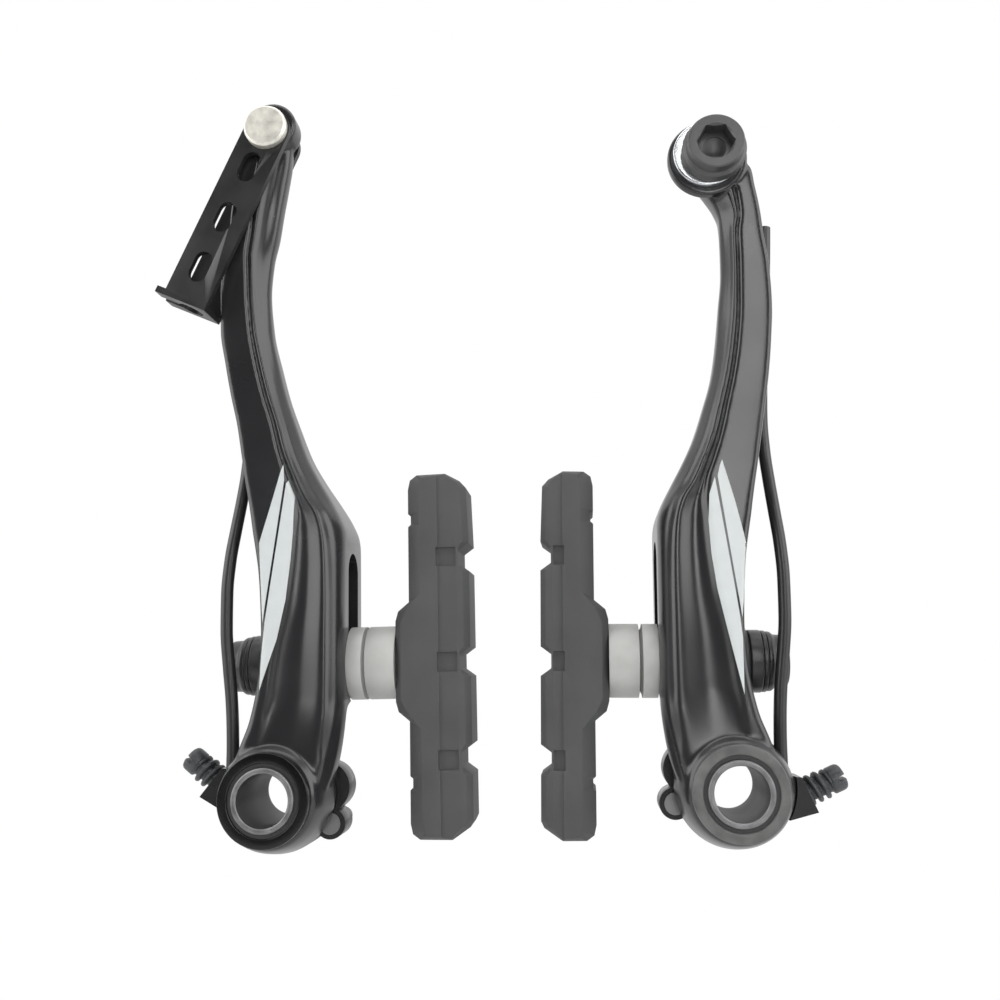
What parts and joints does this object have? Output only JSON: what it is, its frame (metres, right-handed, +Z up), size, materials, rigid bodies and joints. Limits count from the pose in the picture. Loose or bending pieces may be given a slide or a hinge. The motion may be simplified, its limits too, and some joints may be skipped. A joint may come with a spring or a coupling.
{
  "type": "v brake",
  "caption": "Pair of linear-pull rim brake arms with slotted shoe mounts, long rubber pads, return springs, a swinging cable guide link and a cable anchor bolt.",
  "frame": {"origin": "midway between the two pivot axes, on the plane of the shoulders of the frame's brake bosses, where both bushes end", "axes": "+Z up along the arms, +X to the right as seen from the front, +Y back towards the frame, along the pivot axes"},
  "size_m": [0.1092, 0.0276, 0.1245],
  "materials": {
    "bush_steel": "satin",
    "black_plastic": "satin",
    "pin_steel": "satin",
    "spring_steel": "satin",
    "black_screw": "satin",
    "black_paint": "semi-gloss black paint on aluminium",
    "liner": "matte",
    "link_pin": "nickel",
    "link_steel": "semi-gloss",
    "black_bolt": "satin",
    "zinc": "bright zinc",
    "grey_washer": "matte",
    "stud_steel": "satin",
    "pad_rubber": "matte"
  },
  "bodies": {
    "frame_side": {"left_bush": "bush_steel", "right_bush": "bush_steel", "left_spring_seat": "black_plastic", "right_spring_seat": "black_plastic", "left_stopper_pin": "pin_steel", "right_stopper_pin": "pin_steel", "left_spring": "spring_steel", "right_spring": "spring_steel"},
    "left_screw_body": {"left_adjuster": "black_screw"},
    "right_screw_body": {"right_adjuster": "black_screw"},
    "left_arm_body": {"left_arm": "black_paint", "left_liner": "liner", "link_pin": "link_pin"},
    "right_arm_body": {"right_arm": "black_paint", "right_liner": "liner", "anchor_bolt": "black_bolt", "anchor_washer": "zinc"},
    "link_body": {"cable_link": "link_steel"},
    "left_carriage": {"left_inner_dome": "grey_washer", "left_outer_dome": "black_bolt"},
    "left_clamp": {"left_inner_cup": "grey_washer", "left_outer_cup": "black_bolt", "left_flat_washer": "black_bolt", "left_shoe_nut": "black_bolt"},
    "left_shoe": {"left_stud": "stud_steel", "left_pad": "pad_rubber"},
    "right_carriage": {"right_inner_dome": "grey_washer", "right_outer_dome": "black_bolt"},
    "right_clamp": {"right_inner_cup": "grey_washer", "right_outer_cup": "black_bolt", "right_flat_washer": "black_bolt", "right_shoe_nut": "black_bolt"},
    "right_shoe": {"right_stud": "stud_steel", "right_pad": "pad_rubber"}
  },
  "joints": [
    {"name": "left_arm_swing", "type": "hinge", "parent": "frame_side", "child": "left_arm_body", "pos_m": [-0.036, -0.008, 0], "axis": [0, 1, 0], "range_deg": [-30, 3], "stiffness_Nm_per_rad": 0.8, "deforming": ["left_spring"]},
    {"name": "right_arm_swing", "type": "hinge", "parent": "frame_side", "child": "right_arm_body", "pos_m": [0.036, -0.008, 0], "axis": [0, -1, 0], "range_deg": [-30, 3], "stiffness_Nm_per_rad": 0.8, "deforming": ["right_spring"]},
    {"name": "left_screw_travel", "type": "slide", "parent": "frame_side", "child": "left_screw_body", "axis": [-0.7771, 0, 0.6293], "range_m": [-0.0015, 0.0021]},
    {"name": "right_screw_travel", "type": "slide", "parent": "frame_side", "child": "right_screw_body", "axis": [0.9205, 0, 0.3907], "range_m": [-0.0017, 0.0019]},
    {"name": "link_swing", "type": "hinge", "parent": "left_arm_body", "child": "link_body", "pos_m": [-0.03612, -0.01519, 0.1093], "axis": [0, 1, 0], "range_deg": [0, 200]},
    {"name": "left_shoe_height", "type": "slide", "parent": "left_arm_body", "child": "left_carriage", "axis": [0, 0, 1], "range_m": [-0.0029, 0.0149]},
    {"name": "right_shoe_height", "type": "slide", "parent": "right_arm_body", "child": "right_carriage", "axis": [0.0279, 0, 0.9996], "range_m": [-0.0018, 0.016]},
    {"name": "left_shoe_toe", "type": "hinge", "parent": "left_carriage", "child": "left_clamp", "pos_m": [-0.03145, -0.00261, 0.0205], "axis": [0, 0, 1], "range_deg": [-4, 4]},
    {"name": "right_shoe_toe", "type": "hinge", "parent": "right_carriage", "child": "right_clamp", "pos_m": [0.03199, -0.00261, 0.01952], "axis": [0.0279, 0, 0.9996], "range_deg": [-4, 4]},
    {"name": "left_shoe_turn", "type": "hinge", "parent": "left_clamp", "child": "left_shoe", "pos_m": [-0.03145, -0.00261, 0.0205], "axis": [1, 0, 0], "continuous": true},
    {"name": "right_shoe_turn", "type": "hinge", "parent": "right_clamp", "child": "right_shoe", "pos_m": [0.03199, -0.00261, 0.01952], "axis": [-0.9996, 0, 0.0279], "continuous": true}
  ]
}
